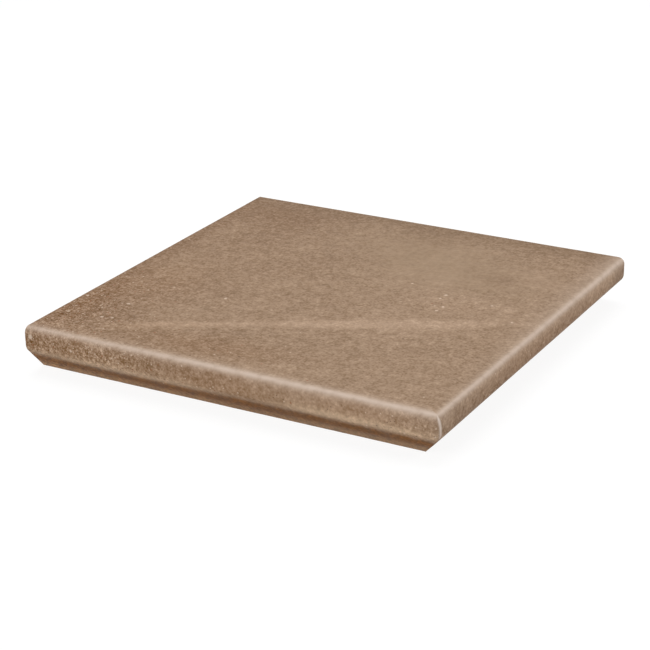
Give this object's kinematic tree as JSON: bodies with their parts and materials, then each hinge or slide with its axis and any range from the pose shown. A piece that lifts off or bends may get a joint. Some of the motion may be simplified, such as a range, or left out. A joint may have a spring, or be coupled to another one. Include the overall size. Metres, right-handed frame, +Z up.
{
  "type": "corner stair tread tile",
  "caption": "Square fired-clay stair tread for an outside corner, with a rounded drip nose along two adjoining edges and a pocketed bed behind their hanging feet.",
  "frame": {"origin": "middle of the square plan, on the plane of the feet's undersides", "axes": "+Z up out of the tread face, -Y out of the front nose, +X out of the side nose"},
  "size_m": [0.33, 0.33, 0.037],
  "materials": {
    "fired_clay": "matt mottled taupe-brown stoneware, a little paler on the rounded edges"
  },
  "bodies": {
    "root": {"corner_tread": "fired_clay"}
  },
  "joints": []
}
